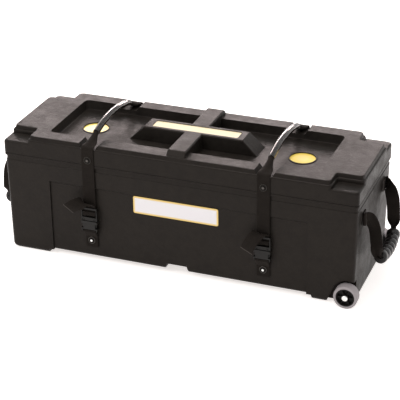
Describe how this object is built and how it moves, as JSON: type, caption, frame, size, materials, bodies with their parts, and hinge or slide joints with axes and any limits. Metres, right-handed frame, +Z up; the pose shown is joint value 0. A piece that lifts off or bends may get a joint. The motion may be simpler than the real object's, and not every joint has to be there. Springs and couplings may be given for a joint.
{
  "type": "drum hardware case",
  "caption": "Long moulded drum hardware case with a lift-off stacking lid, webbing straps with side-release buckles and clear carry sleeves, end handles and wheels at one end.",
  "frame": {"origin": "centre of the bounding box at floor level, under the middle of the case", "axes": "+X along the case towards the wheels, +Z up, -Y towards the front with the white plate"},
  "size_m": [1.1106, 0.4074, 0.386],
  "materials": {
    "shell": "moulded black polyethylene, fine grain, soft sheen",
    "buckle": "moulded black acetal, satin",
    "hub": "moulded black, satin",
    "webbing": "woven black polypropylene",
    "clear_tube": "clear flexible tube",
    "grip": "ribbed black moulding",
    "tyre": "light grey tread",
    "bright_metal": "bright plated",
    "dark_metal": "dark finish",
    "plate": "plain white face with a thin yellow border",
    "label": "plain cream face",
    "badge": "plain yellow disc"
  },
  "bodies": {
    "base": {"base_shell": "shell", "front_plate": "plate", "buckle_socket_front_left": "buckle", "buckle_socket_front_right": "buckle", "buckle_socket_rear_left": "buckle", "buckle_socket_rear_right": "buckle", "anchor_strap_front_left": "webbing", "anchor_strap_front_right": "webbing", "anchor_strap_rear_left": "webbing", "anchor_strap_rear_right": "webbing", "anchor_rivet_front_left": "bright_metal", "anchor_rivet_front_right": "bright_metal", "anchor_rivet_rear_left": "bright_metal", "anchor_rivet_rear_right": "bright_metal", "handle_tab_left_a": "webbing", "handle_tab_left_b": "webbing", "handle_tab_right_a": "webbing", "handle_tab_right_b": "webbing", "handle_rivet_left_a": "dark_metal", "handle_rivet_left_b": "dark_metal", "handle_rivet_right_a": "dark_metal", "handle_rivet_right_b": "dark_metal", "axle_front": "bright_metal", "axle_rear": "bright_metal"},
    "lid": {"lid_shell": "shell", "plinth_label": "label", "badge_left": "badge", "badge_right": "badge", "lid_strap_left": "webbing", "lid_strap_right": "webbing", "carry_sleeve_left": "clear_tube", "carry_sleeve_right": "clear_tube", "buckle_frame_front_left": "buckle", "buckle_frame_front_right": "buckle", "buckle_frame_rear_left": "buckle", "buckle_frame_rear_right": "buckle", "lid_rivet_front_left": "dark_metal", "lid_rivet_front_right": "dark_metal", "lid_rivet_rear_left": "dark_metal", "lid_rivet_rear_right": "dark_metal"},
    "wheel_front": {"tyre_front": "tyre", "hub_front": "hub"},
    "wheel_rear": {"tyre_rear": "tyre", "hub_rear": "hub"},
    "handle_left": {"handle_strap_left": "webbing", "handle_grip_left": "grip"},
    "handle_right": {"handle_strap_right": "webbing", "handle_grip_right": "grip"},
    "prong_front_left_a": {"prong_front_left_a": "buckle"},
    "prong_front_left_b": {"prong_front_left_b": "buckle"},
    "prong_front_right_a": {"prong_front_right_a": "buckle"},
    "prong_front_right_b": {"prong_front_right_b": "buckle"},
    "prong_rear_left_a": {"prong_rear_left_a": "buckle"},
    "prong_rear_left_b": {"prong_rear_left_b": "buckle"},
    "prong_rear_right_a": {"prong_rear_right_a": "buckle"},
    "prong_rear_right_b": {"prong_rear_right_b": "buckle"}
  },
  "joints": [
    {"name": "lid_lift", "type": "slide", "parent": "base", "child": "lid", "axis": [0, 0, 1], "range_m": [0, 0.12]},
    {"name": "wheel_front_spin", "type": "hinge", "parent": "base", "child": "wheel_front", "pos_m": [0.472, -0.169, 0.032], "axis": [0, 1, 0], "continuous": true},
    {"name": "wheel_rear_spin", "type": "hinge", "parent": "base", "child": "wheel_rear", "pos_m": [0.472, 0.169, 0.032], "axis": [0, 1, 0], "continuous": true},
    {"name": "handle_left_swing", "type": "hinge", "parent": "base", "child": "handle_left", "pos_m": [-0.50087, 0, 0.248], "axis": [0, 1, 0], "range_deg": [0, 120]},
    {"name": "handle_right_swing", "type": "hinge", "parent": "base", "child": "handle_right", "pos_m": [0.50087, 0, 0.248], "axis": [0, -1, 0], "range_deg": [0, 120]},
    {"name": "squeeze_front_left_a", "type": "hinge", "parent": "lid", "child": "prong_front_left_a", "pos_m": [-0.2615, -0.174, 0.131], "axis": [0, -1, 0], "range_deg": [0, 6], "stiffness_Nm_per_rad": 0.1},
    {"name": "squeeze_front_left_b", "type": "hinge", "parent": "lid", "child": "prong_front_left_b", "pos_m": [-0.2285, -0.174, 0.131], "axis": [0, 1, 0], "range_deg": [0, 6], "stiffness_Nm_per_rad": 0.1},
    {"name": "squeeze_front_right_a", "type": "hinge", "parent": "lid", "child": "prong_front_right_a", "pos_m": [0.2285, -0.174, 0.131], "axis": [0, -1, 0], "range_deg": [0, 6], "stiffness_Nm_per_rad": 0.1},
    {"name": "squeeze_front_right_b", "type": "hinge", "parent": "lid", "child": "prong_front_right_b", "pos_m": [0.2615, -0.174, 0.131], "axis": [0, 1, 0], "range_deg": [0, 6], "stiffness_Nm_per_rad": 0.1},
    {"name": "squeeze_rear_left_a", "type": "hinge", "parent": "lid", "child": "prong_rear_left_a", "pos_m": [-0.2285, 0.174, 0.131], "axis": [0, 1, 0], "range_deg": [0, 6], "stiffness_Nm_per_rad": 0.1},
    {"name": "squeeze_rear_left_b", "type": "hinge", "parent": "lid", "child": "prong_rear_left_b", "pos_m": [-0.2615, 0.174, 0.131], "axis": [0, -1, 0], "range_deg": [0, 6], "stiffness_Nm_per_rad": 0.1},
    {"name": "squeeze_rear_right_a", "type": "hinge", "parent": "lid", "child": "prong_rear_right_a", "pos_m": [0.2615, 0.174, 0.131], "axis": [0, 1, 0], "range_deg": [0, 6], "stiffness_Nm_per_rad": 0.1},
    {"name": "squeeze_rear_right_b", "type": "hinge", "parent": "lid", "child": "prong_rear_right_b", "pos_m": [0.2285, 0.174, 0.131], "axis": [0, -1, 0], "range_deg": [0, 6], "stiffness_Nm_per_rad": 0.1}
  ]
}
